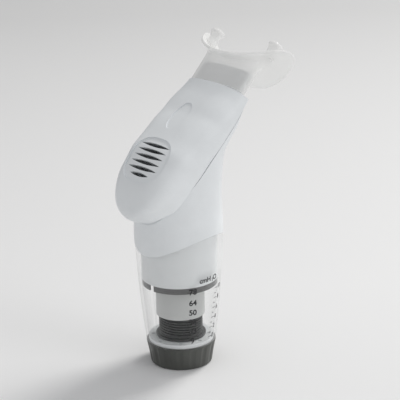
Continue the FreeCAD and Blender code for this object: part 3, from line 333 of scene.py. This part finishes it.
tube_radii = np.vstack([outside_radii, spigot_radii, inside_radii])
tube_heights = np.vstack([outside_heights, spigot_heights, inside_heights])
clear_tube = clear("clear_rigid_fine", (0.95, 0.96, 0.96), 0.06, 0.015, 0.75, 0.3, 2.0)
recoat(clear_tube, "scale_tube")
tube = coat(new_object("tube_piece", about_axis(tube_radii, tube_heights, tube_angles),
                       grid_faces(*tube_radii.shape, close_rows=True)), clear_tube)
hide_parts("scale_tube")
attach(tube, "housing")

# The printed scale on the outside of the tube: readings in cmH2O, a coarser column of levels beside
# it, and short ticks. Thin ink, pad-printed, in a plain sans face.
CAPITAL_SHARE, STROKE_SHARE, INK_LIFT = 0.70, 0.045, 0.03
READINGS = ((78, 44.8), (64, 38.7), (50, 33.3), (36, 28.1), (23, 22.7), (9, 17.0))
READING_AZIMUTH, READING_SIZE = 66.0, 2.9
LEVELS = ((10, 43.5, 117.0), (8, 38.0, 115.0), (6, 32.4, 113.0), (4, 27.2, 111.0), (2, 22.3, 109.0),
          (0, 17.0, 107.0))
LEVEL_SIZE = 2.3
TICKS, TICK_FOOT, TICK_TOP, TICK_HALF_WIDTH = 11, 17.0, 43.5, 0.16
TICK_LONG, TICK_SHORT, TICK_AZIMUTH, TICK_LEAN = 2.4, 1.4, 96.0, 0.35
UNIT = (("cmH", 85.0, 50.1, 2.6), ("2", 98.0, 49.2, 1.6), ("O", 102.8, 50.1, 2.6))


def on_tube(points, faces, azimuth, height):
    """Flat print laid on the tube: across becomes an angle, by the radius there, and up stays up. The
    azimuth goes from the front towards the printed side, in degrees."""
    x, heights = points[:, 0], height + points[:, 1]
    radii = tube_radius(heights) + INK_LIFT
    return about_axis(-radii, heights, math.radians(azimuth) + x / radii), faces


def letters(text, azimuth, height, size):
    """Print of a word or number, centred on its place; size is the height of a capital."""
    curve = bpy.data.curves.new("letters", "FONT")
    curve.body = text
    curve.align_x = "CENTER"
    curve.align_y = "CENTER"
    curve.size = size / CAPITAL_SHARE
    curve.offset = STROKE_SHARE * size
    curve.resolution_u = 6
    obj = bpy.data.objects.new("letters", curve)
    bpy.context.scene.collection.objects.link(obj)
    flat_mesh = bpy.data.meshes.new_from_object(obj)
    bpy.data.objects.remove(obj)
    places = np.empty(len(flat_mesh.vertices) * 3)
    flat_mesh.vertices.foreach_get("co", places)
    faces = [list(face.vertices) for face in flat_mesh.polygons]
    bpy.data.meshes.remove(flat_mesh)
    return on_tube(places.reshape(-1, 3), faces, azimuth, height)


def tick(index):
    """Short bar, every other one long, on a line that leans round the tube with its height."""
    height = TICK_FOOT + (TICK_TOP - TICK_FOOT) * index / (TICKS - 1)
    length = TICK_LONG if index % 2 == 0 else TICK_SHORT
    bar = np.array([(0.0, -TICK_HALF_WIDTH), (length, -TICK_HALF_WIDTH), (length, TICK_HALF_WIDTH),
                    (0.0, TICK_HALF_WIDTH)])
    return on_tube(bar, [[0, 1, 2, 3]], TICK_AZIMUTH + (height - TICK_FOOT) * TICK_LEAN, height)


prints = [letters(str(number), READING_AZIMUTH, height, READING_SIZE) for number, height in READINGS]
prints += [letters(str(number), azimuth, height, LEVEL_SIZE) for number, height, azimuth in LEVELS]
prints += [tick(index) for index in range(TICKS)]
prints += [letters(*word) for word in UNIT]
ink = moulded("print_ink", (0.012, 0.012, 0.014), 0.5, mottle=0.05)
scale_print = coat(new_object("scale_print", *joined(prints), smooth=False), ink)
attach(scale_print, "housing")

# The valves: a white moulded seat on a rubber gasket, with a plate, its rubber face and a slippery
# stem held by a steel nut and clip, and a rubber flap on its own seat. An O-ring seals the tube.
rubber = moulded("rubber_fine", (0.03, 0.03, 0.03), 0.7, grain=900.0)
recoat(white_satin, "valve_seat", "inlet_poppet", "exhale_seat")
recoat(white_slip, "valve_stem")
recoat(steel, "stem_nut", "stem_clip")
recoat(rubber, "seat_gasket", "inlet_seal", "exhale_flap", "body_o_ring")

# The housing and its cover: cool white plastic, each moulded in one, with a fine satin skin. The
# cover snaps on the front of the elbow, and air leaves through its louvres.
white_shell = moulded("white_shell_fine", (0.85, 0.875, 0.89), 0.42, depth=0.03, Specular_IOR_Level=0.45)
recoat(white_shell, "body_shell", "handle_cover")

# The mouthpiece: clear soft silicone, a little hazy, moulded in one. An oval sleeve grips the neck
# duct, a thin curved flange with a rounded rim goes behind the lips, and two tabs are bitten on.
ALONG, SIDE = np.array([1.0, 0.0, 1.0]) / math.sqrt(2), np.array([0.0, 1.0, 0.0])
OUT = np.array([-1.0, 0.0, 1.0]) / math.sqrt(2)
NECK_OUT, SLEEVE_FOOT = 79.2, 119.5
FLANGE_OUT, FLANGE_ROOT, FLANGE_SWEEP, FLANGE_WALL = 74.6, 133.5, 38.7, 1.6
SLEEVE, BORE, FLANGE = (18.45, 5.95), (16.95, 4.45), (29.4, 16.4)
SLEEVE_POWER, FLANGE_POWER, TAB_POWER = 2.5, 2.0, 3.4
MOUTH_COLUMNS, TAB_COLUMNS, TAB_SIDE = 120, 32, 21.1
TAB_ROWS = np.array([(141.2, 3.1, 1.8), (143.5, 3.2, 1.95), (147.4, 3.2, 1.95), (148.2, 3.25, 2.5),
                     (148.9, 3.3, 3.2), (149.7, 3.3, 3.45), (150.4, 3.1, 3.2), (150.8, 2.6, 2.6),
                     (150.95, 1.6, 1.6)])
mouth_angles = np.arange(MOUTH_COLUMNS) * math.tau / MOUTH_COLUMNS


def on_neck(along, side, out):
    """Points from their places along the neck, across it and out of the cover's face, each times its
    own direction and summed."""
    along, side, out = np.broadcast_arrays(along, side, out)
    places = along[..., None] * ALONG + side[..., None] * SIDE + out[..., None] * OUT
    return places.reshape(-1, 3)


def oval(angles, half_width, half_height, power):
    """Across and up on a superellipse: the direction's cosine and sine, each raised to the power,
    summed and rooted, give the reach, which is stretched to the two half sizes."""
    w, h = np.cos(angles), np.sin(angles)
    reach = (np.abs(w) ** power + np.abs(h) ** power) ** (-1 / power)
    return w * reach * half_width, h * reach * half_height


def bent(side, depth):
    """Place along the neck on the flange's round curve, sunk by a depth towards the user."""
    radius = FLANGE_SWEEP - depth
    return FLANGE_ROOT + FLANGE_SWEEP - np.sqrt(np.maximum(4.0, radius * radius - side * side))


def sleeve_row(part, grow, form, depth):
    """Ring of the sleeve: its oval, part of the way from the sleeve's foot to the bent flange."""
    side, out = oval(mouth_angles, form[0] + grow, form[1] + grow, SLEEVE_POWER)
    return on_neck(SLEEVE_FOOT + (bent(side, depth) - SLEEVE_FOOT) * part, side, NECK_OUT + out)


def flange_row(part, swell, depth, form):
    """Ring of the flange: part of the way from the sleeve's oval to the rim's, on the flange's curve."""
    near_side, near_out = oval(mouth_angles, *form, SLEEVE_POWER)
    rim_side, rim_out = oval(mouth_angles, FLANGE[0] + swell, FLANGE[1] + swell, FLANGE_POWER)
    side, out = near_side + (rim_side - near_side) * part, NECK_OUT + near_out
    return on_neck(bent(side, depth), side, out + (FLANGE_OUT + rim_out - out) * part)


def bite_tab(side):
    """Tab from the flange towards the teeth: a rounded block whose half sizes change along it, and
    that swells at its end. Both ends are closed by one face."""
    tab_angles = np.arange(TAB_COLUMNS) * math.tau / TAB_COLUMNS
    across, up = oval(tab_angles, TAB_ROWS[:, 1:2], TAB_ROWS[:, 2:], TAB_POWER)
    faces = grid_faces(len(TAB_ROWS), TAB_COLUMNS)
    first = list(range(TAB_COLUMNS))
    last = [corner + (len(TAB_ROWS) - 1) * TAB_COLUMNS for corner in first]
    return on_neck(TAB_ROWS[:, :1], side + across, NECK_OUT + up), faces + [first[::-1], last]


mouth_rows = [sleeve_row(part, grow, SLEEVE, 0) for part, grow in (
    (0.022, -0.75), (0.004, -0.5), (0.0, -0.2), (0.012, 0.0), (0.10, 0.0), (0.45, -0.1), (0.80, -0.1),
    (0.90, 0.05))]
mouth_rows += [flange_row(part, 0.0, depth, SLEEVE) for part, depth in (
    (0.05, -0.75), (0.11, -0.3), (0.18, -0.05), (0.30, 0.0), (0.45, 0.0), (0.60, 0.0), (0.75, 0.0),
    (0.88, 0.0))]
mouth_rows += [flange_row(1.0, 0.5 * math.sin(turn), FLANGE_WALL / 2 * (1 - math.cos(turn)), SLEEVE)
               for turn in np.linspace(0.0, math.pi, 7)]
mouth_rows += [flange_row(part, 0.0, FLANGE_WALL, BORE)
               for part in (0.88, 0.75, 0.60, 0.45, 0.30, 0.16, 0.08)]
mouth_rows += [flange_row(0.03, 0.0, FLANGE_WALL - 0.15, BORE)]
mouth_rows += [sleeve_row(part, 0.05, BORE, 0.4) for part in (0.96, 0.75, 0.50, 0.25, 0.05)]
mouth_body = (np.vstack(mouth_rows), grid_faces(len(mouth_rows), MOUTH_COLUMNS, close_rows=True))
clear_soft = clear("clear_soft_fine", (0.97, 0.97, 0.96), 0.12, 0.36, 0.95, 0.4, 1.2)
recoat(clear_soft, "mouthpiece")
mouth_points, mouth_faces = joined([mouth_body, bite_tab(-TAB_SIDE), bite_tab(TAB_SIDE)])
mouth = coat(new_object("mouthpiece_piece", mouth_points, mouth_faces, outwards=True), clear_soft)
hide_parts("mouthpiece")
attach(mouth, "mouth")

# The camera: far off with a long lens, a little above the trainer, on the cover's left. It leans by
# a degree or so, as the photograph does.
CAMERA_LENS, CAMERA_SENSOR, CAMERA_REACH, CAMERA_ROLL = 162.0, 36.0, 20.0, math.radians(1.2)
CAMERA_PLACE = (-0.5753, -0.6445, 0.3803)
LEVEL_RIGHT, LEVEL_UP = np.array([0.7373, -0.6756, 0.0]), np.array([0.2171, 0.2370, 0.9469])
FORWARD = np.array([0.6397, 0.6981, -0.3214])
camera_data = bpy.data.cameras.new("photo_camera")
camera_data.lens = CAMERA_LENS
camera_data.sensor_width = CAMERA_SENSOR
camera_data.clip_end = CAMERA_REACH
camera = bpy.data.objects.new("photo_camera", camera_data)
bpy.context.scene.collection.objects.link(camera)
bpy.context.scene.camera = camera
right = math.cos(CAMERA_ROLL) * LEVEL_RIGHT - math.sin(CAMERA_ROLL) * LEVEL_UP
up = math.sin(CAMERA_ROLL) * LEVEL_RIGHT + math.cos(CAMERA_ROLL) * LEVEL_UP
axes = np.stack([right, up, -FORWARD], 1)
turned = Matrix((axes / np.linalg.norm(axes, axis=0)).tolist()).to_4x4()
turned.translation = Vector(CAMERA_PLACE)
camera.matrix_world = turned

# The studio: a pale sheet of matt paper that lies under the trainer and rises far behind it. Its colour
# is painted a little paler near the camera than far off: painted shade for the light falling off.
SHEET_NEAR, SHEET_BEND, SHEET_ROUND, SHEET_TOP, SHEET_HALF_WIDTH = -3.0, 1.4, 0.8, 3.0, 3.0
AWAY, ACROSS = np.array([0.6755, 0.7373, 0.0]), np.array([0.7373, -0.6755, 0.0])
UPWARDS = np.array([0.0, 0.0, 1.0])
bend = np.linspace(0.1, math.pi / 2, 12)
sheet_far = np.concatenate([[SHEET_NEAR, SHEET_BEND], SHEET_BEND + SHEET_ROUND * np.sin(bend),
                            [SHEET_BEND + SHEET_ROUND]])[:, None, None]
sheet_height = np.concatenate([[0.0, 0.0], SHEET_ROUND - SHEET_ROUND * np.cos(bend),
                               [SHEET_TOP]])[:, None, None]
sheet_side = np.array([-SHEET_HALF_WIDTH, SHEET_HALF_WIDTH])[None, :, None]
sheet_points = (AWAY * sheet_far + ACROSS * sheet_side + UPWARDS * sheet_height) / MM
sheet = new_object("studio_sheet", sheet_points.reshape(-1, 3),
                   grid_faces(len(sheet_far), 2, close_columns=False))
paper = bpy.data.materials.new("studio_paper")
paper.use_nodes = True
paper_nodes, paper_links = paper.node_tree.nodes, paper.node_tree.links
paper_place = paper_nodes.new("ShaderNodeTexCoord")
paper_far = paper_nodes.new("ShaderNodeVectorMath")
paper_far.operation = "DOT_PRODUCT"
paper_far.inputs[1].default_value = tuple(AWAY)
paper_links.new(paper_place.outputs["Object"], paper_far.inputs[0])
# Painted shade: the paper's colour darkens away from the camera, in place of the light falling off.
paper_painted_shade = paper_nodes.new("ShaderNodeMapRange")
for key, number in (("From Min", 0.1), ("From Max", 0.8), ("To Min", 0.82), ("To Max", 0.63)):
    paper_painted_shade.inputs[key].default_value = number
paper_links.new(paper_far.outputs["Value"], paper_painted_shade.inputs["Value"])
paper_links.new(paper_painted_shade.outputs["Result"], paper_nodes["Principled BSDF"].inputs["Base Color"])
paper_nodes["Principled BSDF"].inputs["Roughness"].default_value = 0.9
coat(sheet, paper)

# The light: one large lamp from behind on the right, a weak one from the left, and a soft even
# surrounding. Their places go across the view, away from the camera and up, in metres.
LIT_POINT = (0.0, 0.0, 0.08)


def lamp(name, across, away, height, size, watts, colour=(1.0, 1.0, 1.0)):
    """Round area lamp, turned to the middle of the trainer."""
    data = bpy.data.lights.new(name, "AREA")
    data.shape = "DISK"
    data.size = size
    data.energy = watts
    data.color = colour
    obj = bpy.data.objects.new(name, data)
    bpy.context.scene.collection.objects.link(obj)
    obj.location = Vector(ACROSS * across + AWAY * away + UPWARDS * height)
    obj.rotation_euler = (Vector(LIT_POINT) - obj.location).to_track_quat("-Z", "Y").to_euler()


lamp("key_lamp", 0.75, 0.75, 1.35, 0.55, 15.0, (1.0, 0.99, 0.97))
lamp("side_lamp", 1.2, -0.7, 0.7, 0.9, 3.5)
world = bpy.data.worlds.new("studio_world")
bpy.context.scene.world = world
world.use_nodes = True
surrounding = world.node_tree.nodes["Background"]
surrounding.inputs["Color"].default_value = (0.98, 0.985, 1.0, 1.0)
surrounding.inputs["Strength"].default_value = 0.52
bpy.context.scene.view_settings.view_transform = "Standard"
